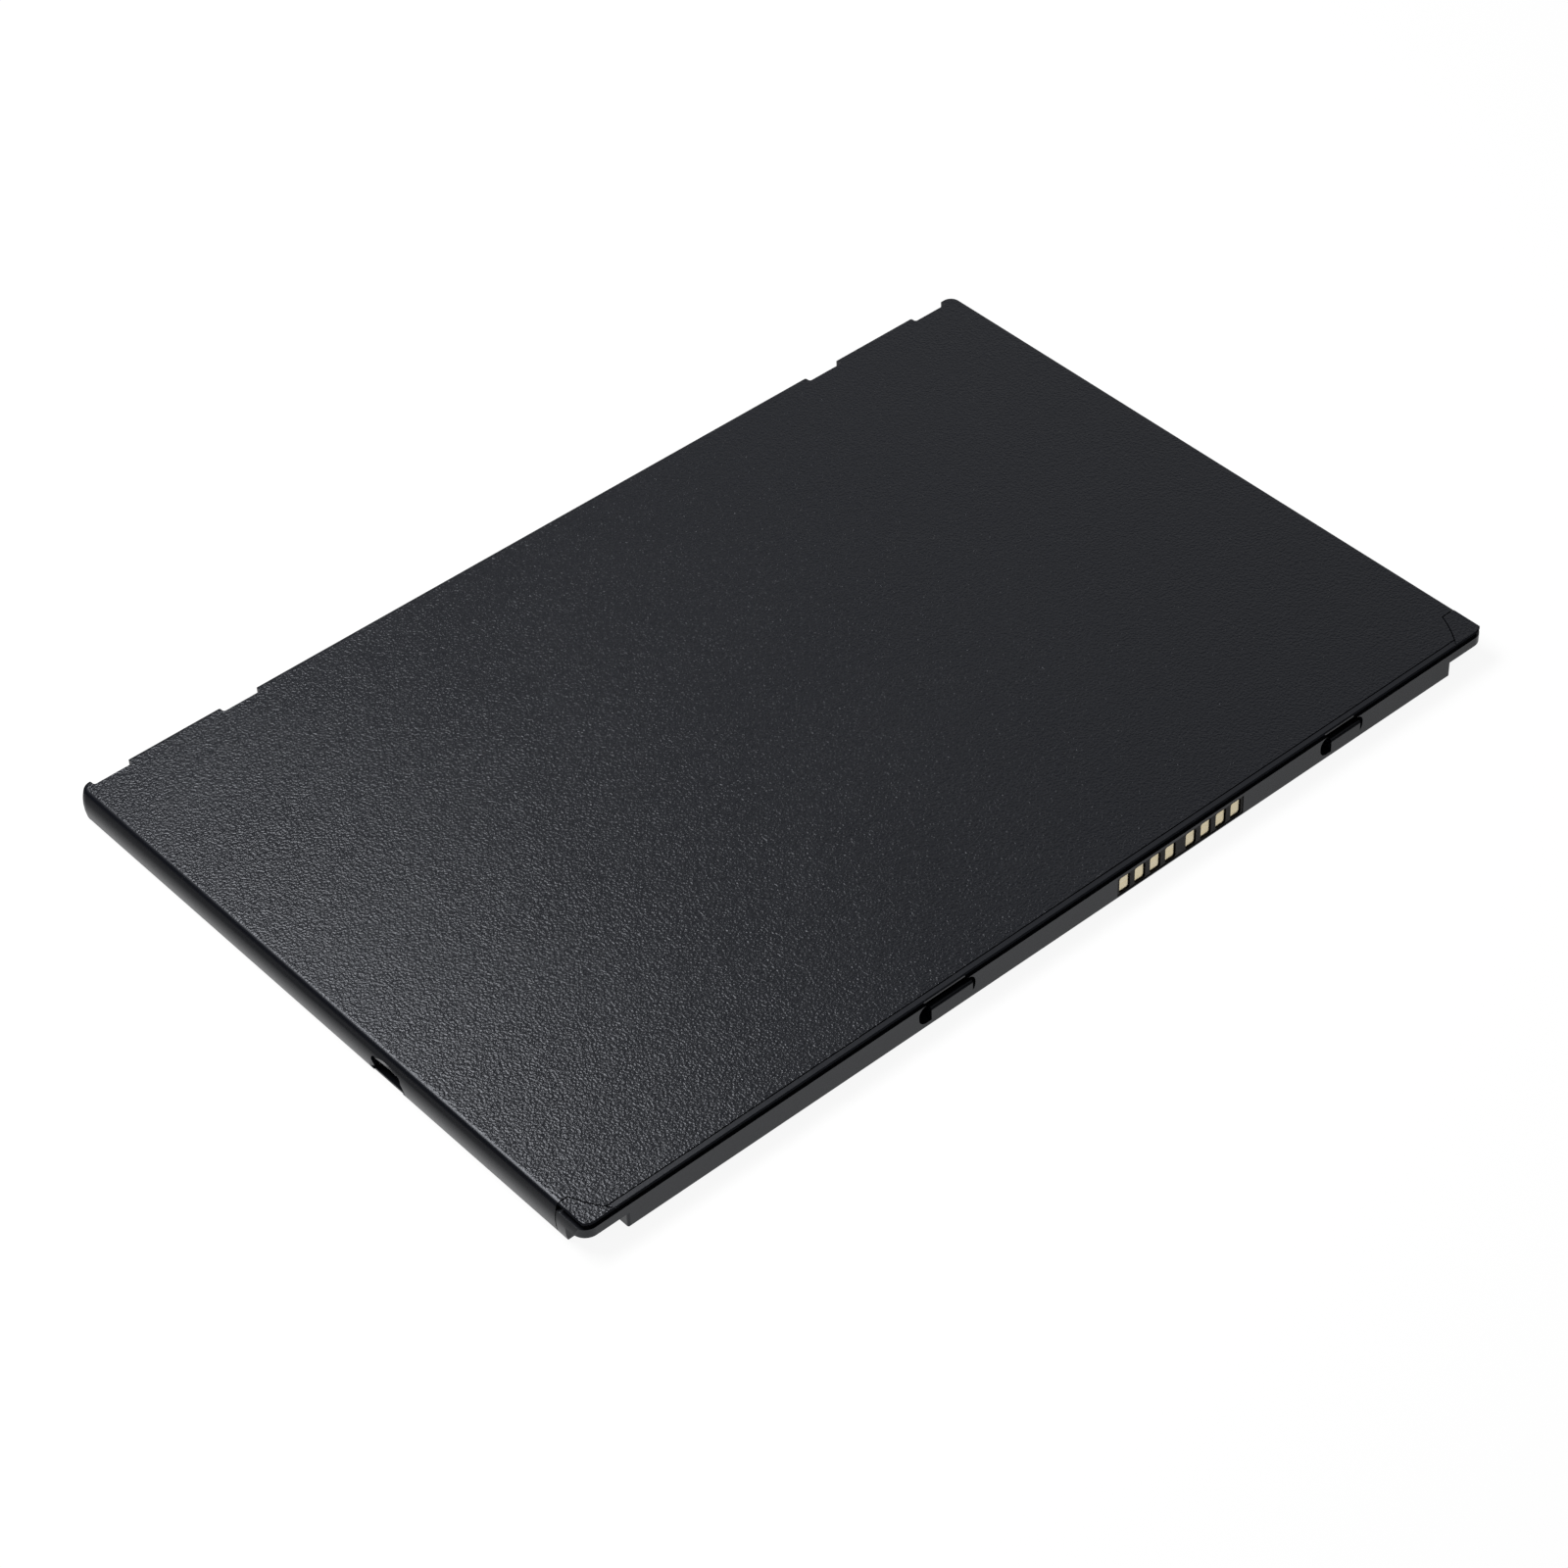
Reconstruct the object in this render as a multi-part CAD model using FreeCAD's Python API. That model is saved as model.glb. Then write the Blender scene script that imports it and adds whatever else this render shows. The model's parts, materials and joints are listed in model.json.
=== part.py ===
import FreeCAD, Part
import math
import os

from FreeCAD import Vector

# A flat battery pack that forms the back of a tablet computer, in millimetres.
# X runs along the long side, Y from the contact edge at the front to the back edge, and Z up through
# the thickness. The origin is the middle of the underside.

# Outer slab
length = 216.4
width = 144.9
height = 6.6
corner_radius = 2.8         # corners, seen from above
edge_radius = 1.1           # rounding round the cover's top face
foot_radius = 0.25          # rounding round the underside
wall_arc = 11.0             # radius of the gentle outward curve of the cover's walls
widest_drop = 3.9           # from the top face down to where they stand out furthest
groove_drop = 1.4           # from the top face down to the floor of the groove under the rail's lip
groove_depth = 0.6
lip_bevel = 0.25            # along the upper edge of that lip
lip_thickness = 0.4         # where the lip meets the back of the groove
cap_lip_inset = 0.7         # the lip along the short sides of the caps, in from the outermost line

# Walls of the two mouldings
cover_thickness = 0.9
cover_wall = 1.6            # left and right walls
cover_back_wall = 3.1
tray_floor = 1.0
tray_wall = 1.0
rail_wall = 1.5
shell_clearance = 0.1       # between the cover's walls and the tray
lid_clearance = 0.05        # between the cover's plate and what lies under it

# Seam between the textured cover and the smooth front rail
strip_width = 1.2
seam_gap = 0.25
rail_ledge = 1.1            # how far the ledge under the cover reaches past the rail wall
ledge_thickness = 0.75
cap_side_reach = 7.1        # corner caps, back along the short sides
cap_flat_left = 2.8         # short straight run of the left cap's seam
cap_flat_right = 3.9
cap_reach_left = 6.9        # left cap, along the front edge
cap_reach_right = 8.1
cap_bow = 0.35              # bow of the caps' seams towards the corner
score_depth = 0.3           # the caps' seams, carried on through the strip

# Relief under the rim at both front corners
rim_height = 3.3
relief_length = 9.3
relief_depth = 4.7
relief_easing = 0.5         # rounding of the front wall where it ends at the relief
relief_wall = 1.0

# Pockets in the front rail for the tablet's hooks, with a bar standing in each
hook_left_x = -28.0
hook_left_width = 13.1
hook_right_x = 69.6
hook_right_width = 11.1
hook_top_drop = 1.4         # pocket's upper edge below the top face
hook_depth = 2.6
hook_rounding = 1.8
hook_wall = 0.9
bar_height = 2.8
bar_thickness = 1.4         # from the rail's face inwards
bar_gap_left = 2.9
bar_gap_right = 0.6
bar_nose = 0.6              # rounding of the bar's upper front edge
bar_rounding = 0.3          # and of its upper back edge

# Contact window, the block in it and the blades
contact_x = 28.42
contact_pitch = 3.78
contact_middle_gap = 5.1
contacts_per_group = 4
window_margin = 0.55        # from the outer slots to the ends of the window
window_top_drop = 2.0
window_lip = 0.45
housing_clearance = 0.08
housing_setback = 0.12
housing_depth = 4.2
flange_reach = 1.6
slot_width = 2.6
slot_depth = 1.9
slot_floor = 0.2
slot_rounding = 0.45
pad_width = 2.15
blade_setback = 0.42
blade_thickness = 0.25
blade_clearance = 0.05
tail_width = 1.2
tail_landing = 1.6

# Notches in the back edge, by their middles along X
notch_middles = (-101.2, -72.45, 71.55, 100.25)
notch_depth = 2.3
notch_width = 8.35
notch_rounding = 0.5
notch_easing = 1.4          # where its ends meet the back edge

# Latch slot in the left wall, open downwards past a thin lip of the tray
latch_y = -19.65
latch_width = 8.1
latch_height = 4.15
latch_rounding = 1.1
latch_depth = 2.8
latch_wall = 0.6
latch_lip = 0.4
latch_lip_setback = 0.5
tongue_drop = 1.0           # tongue of the wall that hangs into the slot, below its upper edge
tongue_reach = 3.2          # and half its width there
scoop_rise = 1.3            # scoop in the wall and tongue, above the slot's upper edge
scoop_depth = 0.6           # at the tongue's tip
scoop_reach = 3.8           # half its width at that depth

# Cells, which fill what the tray leaves free
cell_count = 4
cell_spacing = 1.2
cell_side_gap = 1.2         # from the outer cells to the tray's side walls
cell_back_gap = 2.3         # from the cells to the tray's back wall
cell_rounding = 0.7
cell_corner = 1.6
terrace_depth = 4.0         # sealed flange that the tabs leave through
terrace_width = 45.0
terrace_thickness = 0.3
tab_spacing = 24.0
tab_width = 6.0
tab_thickness = 0.15
tab_run = 2.6               # bare tab between the sealed flange and the board
tape_margin = 5.0
tape_thickness = 0.2
foam_thickness = 0.35
divider_thickness = 0.7
divider_height = 2.8

# Board and what is on it
board_end_gap = 1.7         # from the corner reliefs' walls to the board
board_depth = 14.0
board_thickness = 0.8
board_rounding = 1.0
board_gap = 0.5             # from the contact block to the board
board_stand = 1.0
board_pad = 4.0
pin_radius = 0.9
pin_clearance = 0.1
pin_rise = 0.6
pin_inset = 8.0
link_width = 3.5
link_thickness = 0.2
link_overhang = 1.0         # past the outer edges of the tabs
insulator_thickness = 0.1
insulator_margin = 1.5
chip_setback = 6.5          # middle of the parts behind the board's front edge
chip_easing = 0.1

# Label on the underside
label_length = 96.0
label_width = 58.0
label_recess = 0.25
label_thickness = 0.18
label_rounding = 2.0
label_clearance = 0.15

half_length = length / 2
half_width = width / 2
front = -half_width
back = half_width
plate_bottom = height - cover_thickness
inner_top = plate_bottom - lid_clearance
inner_half = half_length - cover_wall - shell_clearance
tray_back = back - cover_back_wall - shell_clearance
rim_bottom = height - rim_height
board_bottom = tray_floor + board_stand
board_top = board_bottom + board_thickness
tab_bottom = board_top + link_thickness
board_front = front + housing_setback + housing_depth + board_gap
board_back = board_front + board_depth
board_half = half_length - relief_length - relief_wall - board_end_gap
cell_bottom = tray_floor + tape_thickness
cell_top = inner_top - foam_thickness
cell_back = tray_back - tray_wall - cell_back_gap
cell_front = board_back + tab_run + terrace_depth
cell_room = 2 * (inner_half - tray_wall - cell_side_gap)
cell_pitch = (cell_room + cell_spacing) / cell_count
cell_width = cell_pitch - cell_spacing

# For cutting shapes and for picking edges
far = length                # reach of blocks that cut everything on one side
past = 1.0                  # how far other cutters run past the faces they open
near = 0.001                # distance within which a point lies on a face
aligned = 0.9               # least share of an edge's run for it to lie along an axis


def block(x0, x1, y0, y1, z0, z1):
    """A plain block between two corners."""
    return Part.makeBox(x1 - x0, y1 - y0, z1 - z0, Vector(x0, y0, z0))


def round_edges(shape, radius, wanted):
    """The shape with a rounding on each edge whose direction and middle suit the test."""
    edges = []
    for edge in shape.Edges:
        first, last = edge.FirstParameter, edge.LastParameter
        run = edge.valueAt(last) - edge.valueAt(first)
        if run.Length > 0 and wanted(run.normalize(), edge.valueAt((first + last) / 2)):
            edges.append(edge)
    return shape.makeFillet(radius, edges)


def rounded_block(x0, x1, y0, y1, z0, z1, radius, axis):
    """A block whose edges along one axis are rounded."""
    return round_edges(block(x0, x1, y0, y1, z0, z1), radius, lambda run, _: abs(run.dot(axis)) > aligned)


def mirrored(shape):
    """The same shape on the other end of the pack."""
    return shape.mirror(Vector(0, 0, 0), Vector(1, 0, 0))


def on_arc(centre_u, centre_z, radius, tilt):
    """Point of an edge section, u inward from the outermost line, where the face tilts up by this angle."""
    return Vector(centre_u - radius * math.cos(tilt), 0, centre_z + radius * math.sin(tilt))


def section_face(edges):
    """Closed section of an edge, from its outer line in to the depth of the corner radius."""
    top = Vector(corner_radius, 0, height)
    bottom = Vector(corner_radius, 0, 0)
    start = edges[0].valueAt(edges[0].FirstParameter)
    end = edges[-1].valueAt(edges[-1].LastParameter)
    closing = [Part.makeLine(end, top), Part.makeLine(top, bottom), Part.makeLine(bottom, start)]
    return Part.Face(Part.Wire(edges + closing))


def curved_wall(top_tilt):
    """Foot and gently curved wall of the short sides, up to where the wall tilts by this angle."""
    wall_z = height - widest_drop
    foot = -math.asin((wall_z - foot_radius) / (wall_arc - foot_radius))
    foot_u = wall_arc - (wall_arc - foot_radius) * math.cos(foot)
    edges = []
    for u, z, radius, low, high in ((foot_u, foot_radius, foot_radius, -math.pi / 2, foot),
                                    (wall_arc, wall_z, wall_arc, foot, top_tilt)):
        points = [on_arc(u, z, radius, tilt) for tilt in (low, (low + high) / 2, high)]
        edges.append(Part.Arc(*points).toShape())
    return edges


def cover_section():
    """Section of the cover's edge: foot, gently curved wall and large top rounding, all tangent."""
    upright = math.pi / 2
    join = math.asin((widest_drop - edge_radius) / (wall_arc - edge_radius))
    top_u = wall_arc - (wall_arc - edge_radius) * math.cos(join)
    points = [on_arc(top_u, height - edge_radius, edge_radius, tilt)
              for tilt in (join, (join + upright) / 2, upright)]
    return section_face(curved_wall(join) + [Part.Arc(*points).toShape()])


def lip_edges(wall_top, lip_u):
    """Groove above the wall and lip over it, from the wall's upper edge to the top face."""
    groove_u = lip_u + groove_depth
    floor = height - groove_drop
    points = [wall_top, Vector(groove_u, 0, floor), Vector(groove_u, 0, height - lip_thickness),
              Vector(lip_u, 0, height - lip_bevel), Vector(lip_u + lip_bevel, 0, height)]
    return [Part.makeLine(start, end) for start, end in zip(points, points[1:])]


def rail_section():
    """Section of the front rail's edge: foot, upright wall, groove and lip."""
    foot = [on_arc(foot_radius, foot_radius, foot_radius, tilt) for tilt in (-math.pi / 2, -math.pi / 4, 0)]
    wall_top = Vector(0, 0, height - groove_drop)
    wall = [Part.Arc(*foot).toShape(), Part.makeLine(foot[-1], wall_top)]
    return section_face(wall + lip_edges(wall_top, 0))


def cap_section():
    """Section of a cap's short side: the cover's curved wall with the rail's groove and lip."""
    tilt = math.asin((widest_drop - groove_drop) / wall_arc)
    wall_top = on_arc(wall_arc, height - widest_drop, wall_arc, tilt)
    return section_face(curved_wall(tilt) + lip_edges(wall_top, cap_lip_inset))


def plate(section):
    """A plate of the full size whose edge has this section all the way round."""
    run_x = length - 2 * corner_radius
    run_y = width - 2 * corner_radius
    pivot = Vector(-half_length + corner_radius, front + corner_radius, 0)
    up = Vector(0, 0, 1)
    start = section.copy()
    start.translate(Vector(-half_length, pivot.y, 0))
    left = start.extrude(Vector(0, run_y, 0))
    corner = start.revolve(pivot, up, 90)
    start.rotate(pivot, up, 90)
    near_side = start.extrude(Vector(run_x, 0, 0))
    half = [left, corner, corner.mirror(Vector(0, 0, 0), Vector(0, 1, 0))]
    both = half + [mirrored(piece) for piece in half]
    far_side = near_side.mirror(Vector(0, 0, 0), Vector(0, 1, 0))
    middle = block(-run_x / 2, run_x / 2, -run_y / 2, run_y / 2, 0, height)
    return middle.fuse(both + [near_side, far_side]).removeSplitter()


def cover_plate():
    """Outer form of the cover."""
    return plate(cover_section())


def rail_plate():
    """Outer form of the tray's rail and caps, whose short sides carry on the cover's curve."""
    side = cap_section()
    side.translate(Vector(-half_length, front - past, 0))
    side = side.extrude(Vector(0, width + 2 * past, 0))
    middle = block(-half_length + corner_radius, half_length - corner_radius, front - past, back + past,
                   0, height)
    return plate(rail_section()).common(middle.fuse([side, mirrored(side)]).removeSplitter())


def cap_plan(grow, flat, reach):
    """Prism over a corner cap on the left, seen from above, with its seam moved inward by grow."""
    run_x = reach - flat
    run = math.hypot(run_x, cap_side_reach)
    normal_x = cap_side_reach / run
    normal_y = run_x / run
    corner_x = -half_length + flat + grow * (normal_x - (1 - normal_y) * run_x / cap_side_reach)
    corner_y = front + cap_side_reach + grow
    end_x = -half_length + reach + grow / normal_x
    bow = grow - cap_bow
    middle_x = -half_length + (flat + reach) / 2 + normal_x * bow
    middle_y = front + cap_side_reach / 2 + normal_y * bow
    outer_x = -half_length - past
    outer_y = front - past
    points = [Vector(end_x, front, 0), Vector(end_x, outer_y, 0), Vector(outer_x, outer_y, 0),
              Vector(outer_x, corner_y, 0), Vector(corner_x, corner_y, 0)]
    edges = [Part.makeLine(a, b) for a, b in zip(points, points[1:])]
    edges.append(Part.Arc(points[-1], Vector(middle_x, middle_y, 0), points[0]).toShape())
    return Part.Face(Part.Wire(edges)).extrude(Vector(0, 0, height))


def both_caps(grow):
    """Prisms over both corner caps."""
    right = cap_plan(grow, cap_flat_right, cap_reach_right)
    return [cap_plan(grow, cap_flat_left, cap_reach_left), mirrored(right)]


def rail_plan(grow):
    """Prism over the smooth front strip and both corner caps."""
    strip = block(-half_length - past, half_length + past, front - past, front + strip_width + grow,
                  0, height)
    return strip.fuse(both_caps(grow))


def seam_scores():
    """Cutters for the fine scores that carry the caps' seams on through the strip."""
    strip = block(-half_length, half_length, front - past, front + strip_width + seam_gap,
                  height - score_depth, height)
    return [strip.common(wide.cut(narrow)) for wide, narrow in zip(both_caps(seam_gap), both_caps(0))]


def eased_corner(x, y, turn_x, turn_y, radius, z0, z1):
    """Cutter that rounds an upright outer corner. The turns are 1 or -1, towards the material."""
    pivot = Vector(x + turn_x * radius, y + turn_y * radius, z0 - past)
    x0, x1 = sorted((x, pivot.x))
    y0, y1 = sorted((y - turn_y * past, pivot.y))
    return block(x0, x1, y0, y1, z0, z1).cut(Part.makeCylinder(radius, z1 - z0 + 2 * past, pivot))


def edge_notch(middle):
    """Cutter for one notch in the back edge, its corners rounded."""
    x0 = middle - notch_width / 2
    x1 = middle + notch_width / 2
    top = height + past
    notch = rounded_block(x0, x1, back - notch_depth, back + notch_depth + past, rim_bottom, top,
                          notch_rounding, Vector(0, 0, 1))
    return notch.fuse([eased_corner(x0, back, -1, -1, notch_easing, rim_bottom, top),
                       eased_corner(x1, back, 1, -1, notch_easing, rim_bottom, top)])


def latch_slot():
    """Cutter for the latch slot, through the cover's wall and into the tray."""
    return rounded_block(-half_length - past, -half_length + latch_depth, latch_y - latch_width / 2,
                         latch_y + latch_width / 2, -latch_height, latch_height, latch_rounding,
                         Vector(1, 0, 0))


def latch_tongue():
    """The part of the cover's wall that hangs into the middle of the slot, as a bow."""
    bow = (tongue_reach ** 2 + tongue_drop ** 2) / (2 * tongue_drop)
    return Part.makeCylinder(bow, 2 * past + cover_wall,
                             Vector(-half_length - past, latch_y, latch_height - tongue_drop + bow),
                             Vector(1, 0, 0))


def latch_scoop():
    """Cutter for the shallow scoop that runs down the wall and the tongue into the slot."""
    ball = (scoop_reach ** 2 + scoop_depth ** 2) / (2 * scoop_depth)
    lean = math.atan2(scoop_depth, scoop_rise + tongue_drop)
    long = 4 * latch_height
    scoop = Part.makeCylinder(ball, long, Vector(0, 0, -long / 2))
    scoop.rotate(Vector(0, 0, 0), Vector(0, 1, 0), -math.degrees(lean))
    scoop.translate(Vector(-half_length - ball / math.cos(lean), latch_y, latch_height + scoop_rise))
    return scoop.common(block(-far, 0, -far, far, 0, latch_height + scoop_rise))


def latch_box():
    """The tray's own wall round the inner end of the latch slot."""
    reach = latch_width / 2 + latch_wall
    return block(-inner_half, -half_length + latch_depth + latch_wall, latch_y - reach,
                 latch_y + reach, 0, inner_top)


def latch_lip_block():
    """Thin lip of the tray's floor under the latch slot."""
    reach = latch_width / 2 - shell_clearance
    return block(-half_length + latch_lip_setback, -half_length + latch_depth + latch_wall / 2,
                 latch_y - reach, latch_y + reach, 0, latch_lip)


def top_cover():
    """The textured plate with the left, right and back walls moulded on."""
    hollow = block(-half_length + cover_wall, half_length - cover_wall,
                   front - past, back - cover_back_wall, -past, plate_bottom)
    cover = cover_plate().cut(rail_plan(seam_gap)).cut(hollow)
    notches = [edge_notch(middle) for middle in notch_middles]
    return cover.cut(notches + [latch_slot().cut(latch_tongue()), latch_scoop()])


def hook_pocket(middle, wide):
    """Cutter for one hook pocket, with rounded upper corners."""
    top = height - hook_top_drop
    return rounded_block(middle - wide / 2, middle + wide / 2, front - past, front + hook_depth,
                         tray_floor, top, hook_rounding, Vector(0, 1, 0))


def hook_bar(middle, wide):
    """The bar that stands on the pocket's floor for the hook to catch on."""
    x0 = middle - wide / 2 + bar_gap_left
    x1 = middle + wide / 2 - bar_gap_right
    top = tray_floor + bar_height
    bar = block(x0, x1, front, front + bar_thickness, tray_floor / 2, top)
    bar = round_edges(bar, bar_nose, lambda run, mid: abs(run.x) > aligned and mid.z > top - near
                      and mid.y < front + near)
    return round_edges(bar, bar_rounding, lambda run, mid: abs(run.x) > aligned and mid.z > top - near
                       and mid.y > front + bar_thickness - near)


def contact_places():
    """Middle of each contact along X, in two groups."""
    inner = contact_middle_gap / 2
    steps = range(contacts_per_group)
    left = [contact_x - inner - contact_pitch * n for n in reversed(steps)]
    return left + [contact_x + inner + contact_pitch * n for n in steps]


def window_half():
    """Half the window's length."""
    reach = contact_middle_gap / 2 + contact_pitch * (contacts_per_group - 1)
    return reach + slot_width / 2 + window_margin


def window_cut():
    """Cutter for the contact window in the rail."""
    return block(contact_x - window_half(), contact_x + window_half(), front - past,
                 front + rail_wall + housing_clearance, window_lip, height - window_top_drop)


def flange_block():
    """The part of the contact block behind the rail wall, which the window cannot let out."""
    half = window_half() + flange_reach
    return block(contact_x - half, contact_x + half, front + rail_wall + housing_clearance,
                 front + housing_setback + housing_depth, tray_floor + housing_clearance,
                 inner_top - ledge_thickness - housing_clearance)


def relief_cut():
    """Cutter for the relief under the rim at the left front corner, easing the end of the front wall."""
    end = -half_length + relief_length
    room = block(-half_length - past, end, front - past, front + relief_depth, -past, rim_bottom)
    return room.fuse(eased_corner(end, front, 1, 1, relief_easing, -past, rim_bottom))


def relief_walls():
    """Walls and roof that close the tray round the relief."""
    return block(-inner_half, -half_length + relief_length + relief_wall, front,
                 front + relief_depth + relief_wall, 0, rim_bottom + relief_wall)


def pan():
    """Floor and inner walls of the tray, one hollow box without its front wall."""
    outer = block(-inner_half, inner_half, front, tray_back, 0, inner_top)
    hollow = block(-inner_half + tray_wall, inner_half - tray_wall, front - past,
                   tray_back - tray_wall, tray_floor, height)
    return outer.cut(hollow)


def cell_places():
    """Middle of each cell along X."""
    return [(n - (cell_count - 1) / 2) * cell_pitch for n in range(cell_count)]


def board_supports():
    """Pads under the board and the two pins that locate it."""
    pads = []
    rows = (board_front + board_pad / 2, board_back - board_pad / 2)
    for x in (-board_half + board_pad, 0, board_half - board_pad):
        for y in rows:
            pads.append(block(x - board_pad / 2, x + board_pad / 2, y - board_pad / 2, y + board_pad / 2,
                              tray_floor, board_bottom))
    for x in pin_places():
        pads.append(Part.makeCylinder(pin_radius + board_pad / 4, board_stand,
                                      Vector(x, board_front + board_depth / 2, tray_floor)))
        pads.append(Part.makeCylinder(pin_radius, board_stand + board_thickness + pin_rise,
                                      Vector(x, board_front + board_depth / 2, tray_floor)))
    return pads


def pin_places():
    """The two locating pins along X."""
    return (-board_half + pin_inset, board_half - pin_inset)


def dividers():
    """Ribs on the floor between neighbouring cells."""
    places = cell_places()
    middles = [(a + b) / 2 for a, b in zip(places, places[1:])]
    return [block(x - divider_thickness / 2, x + divider_thickness / 2, cell_front, cell_back,
                  tray_floor, tray_floor + divider_height) for x in middles]


def label_plan(grow, thick, z0):
    """Rounded sheet of the label's outline."""
    return rounded_block(-label_length / 2 - grow, label_length / 2 + grow, -label_width / 2 - grow,
                         label_width / 2 + grow, z0, z0 + thick, label_rounding, Vector(0, 0, 1))


def base_tray():
    """Lower moulding: pan, front rail, corner caps, hook pockets and contact window."""
    outer = rail_plate()
    rail = outer.common(rail_plan(0))
    wall = outer.common(block(-inner_half, inner_half, front, front + rail_wall, 0, inner_top))
    ledge = block(-inner_half, inner_half, front + rail_wall / 2, front + rail_wall + rail_ledge,
                  inner_top - ledge_thickness, inner_top)
    reliefs = outer.common(relief_walls())
    boxes = []
    for middle, wide in ((hook_left_x, hook_left_width), (hook_right_x, hook_right_width)):
        boxes.append(block(middle - wide / 2 - hook_wall, middle + wide / 2 + hook_wall,
                           front + rail_wall / 2, front + hook_depth + hook_wall, 0, inner_top))
    tray = outer.common(pan()).fuse([rail, wall, ledge, reliefs, mirrored(reliefs), latch_box()] + boxes)
    pockets = [hook_pocket(hook_left_x, hook_left_width), hook_pocket(hook_right_x, hook_right_width)]
    label_recess_cut = label_plan(label_clearance, label_recess + past, -past)
    tray = tray.cut(pockets + [window_cut(), latch_slot(), relief_cut(), mirrored(relief_cut()),
                               label_recess_cut] + seam_scores())
    bars = [hook_bar(hook_left_x, hook_left_width), hook_bar(hook_right_x, hook_right_width)]
    return tray.fuse(bars + [latch_lip_block()] + dividers() + board_supports()).removeSplitter()


def blade(x):
    """One contact: the pad that shows in its slot, and the tail that is soldered to the board."""
    y0 = front + blade_setback
    floor = window_lip + housing_clearance + slot_floor + blade_clearance
    half = pad_width / 2
    top = height - window_top_drop - housing_clearance - slot_floor - blade_clearance
    pad = rounded_block(x - half, x + half, y0, y0 + blade_thickness, floor, top, slot_rounding,
                        Vector(0, 1, 0))
    tail = block(x - tail_width / 2, x + tail_width / 2, y0, board_front + tail_landing,
                 board_top, board_top + blade_thickness)
    return pad.fuse(tail).removeSplitter()


def contact_housing():
    """The black block in the window, with a slot for each contact and a hole for its tail."""
    gap = housing_clearance
    nose = block(contact_x - window_half() + gap, contact_x + window_half() - gap,
                 front + housing_setback, front + housing_setback + housing_depth,
                 window_lip + gap, height - window_top_drop - gap)
    nose = nose.cut(block(-far, far, front + rail_wall, far, -past, tray_floor + gap))
    housing = nose.fuse(flange_block())
    cutters = []
    for x in contact_places():
        slot = rounded_block(x - slot_width / 2, x + slot_width / 2, front - past,
                             front + housing_setback + slot_depth, window_lip + gap + slot_floor,
                             height - window_top_drop - gap - slot_floor, slot_rounding, Vector(0, 1, 0))
        hole = block(x - tail_width / 2 - blade_clearance, x + tail_width / 2 + blade_clearance,
                     front, far, board_top - blade_clearance,
                     board_top + blade_thickness + blade_clearance)
        cutters += [slot, hole]
    return housing.cut(cutters).removeSplitter()


def pouch_cell(x):
    """One sealed flat cell with the flange that its tabs leave through."""
    body = rounded_block(x - cell_width / 2, x + cell_width / 2, cell_front, cell_back, cell_bottom,
                         cell_top, cell_corner, Vector(0, 0, 1))
    body = round_edges(body, cell_rounding, lambda run, mid: mid.z > cell_top - near
                       or mid.z < cell_bottom + near)
    middle = tab_bottom + tab_thickness / 2
    flange = block(x - terrace_width / 2, x + terrace_width / 2, cell_front - terrace_depth,
                   cell_front + cell_rounding, middle - terrace_thickness / 2,
                   middle + terrace_thickness / 2)
    return body.fuse(flange).removeSplitter()


def tab_places(x):
    """Both tabs of the cell at x."""
    return (x - tab_spacing / 2, x + tab_spacing / 2)


def cell_tabs(x):
    """The two tabs of one cell, from the sealed flange to the links on the board."""
    tabs = [block(t - tab_width / 2, t + tab_width / 2, board_back - link_width,
                  cell_front - terrace_depth, tab_bottom, tab_bottom + tab_thickness)
            for t in tab_places(x)]
    return Part.makeCompound(tabs)


def nickel_links():
    """Strips on the board: one at each end of the chain, and one between each two cells."""
    tabs = sorted(t for x in cell_places() for t in tab_places(x))
    groups = [tabs[:1]] + [tabs[n:n + 2] for n in range(1, len(tabs) - 1, 2)] + [tabs[-1:]]
    reach = tab_width / 2 + link_overhang
    return [block(min(group) - reach, max(group) + reach, board_back - link_width, board_back,
                  board_top, tab_bottom) for group in groups]


def tab_insulator(x):
    """Film that covers both tabs of one cell."""
    reach = tab_spacing / 2 + tab_width / 2 + insulator_margin
    z0 = tab_bottom + tab_thickness
    return block(x - reach, x + reach, board_back - link_width,
                 cell_front - terrace_depth - lid_clearance, z0, z0 + insulator_thickness)


def cell_tape(x):
    """Adhesive sheet between one cell and the floor."""
    return block(x - cell_width / 2 + tape_margin, x + cell_width / 2 - tape_margin,
                 cell_front + tape_margin, cell_back - tape_margin, tray_floor, cell_bottom)


def foam_pad(x):
    """Thin foam between one cell and the cover."""
    return block(x - cell_width / 2 + tape_margin, x + cell_width / 2 - tape_margin,
                 cell_front + tape_margin, cell_back - tape_margin, cell_top, inner_top)


def protection_board():
    """The circuit board, with holes for the locating pins."""
    board = rounded_block(-board_half, board_half, board_front, board_back,
                          board_bottom, board_top, board_rounding, Vector(0, 0, 1))
    holes = [Part.makeCylinder(pin_radius + pin_clearance, board_thickness + 2 * past,
                               Vector(x, board_front + board_depth / 2, board_bottom - past))
             for x in pin_places()]
    return board.cut(holes)


def board_part(x, size_x, size_y, size_z):
    """A flat component seated on the board, its top edges eased."""
    y = board_front + chip_setback
    part = block(x - size_x / 2, x + size_x / 2, y - size_y / 2, y + size_y / 2,
                 board_top, board_top + size_z)
    upper = [edge for edge in part.Edges if edge.CenterOfMass.z > board_top + size_z - near]
    return part.makeChamfer(chip_easing, upper)


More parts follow.
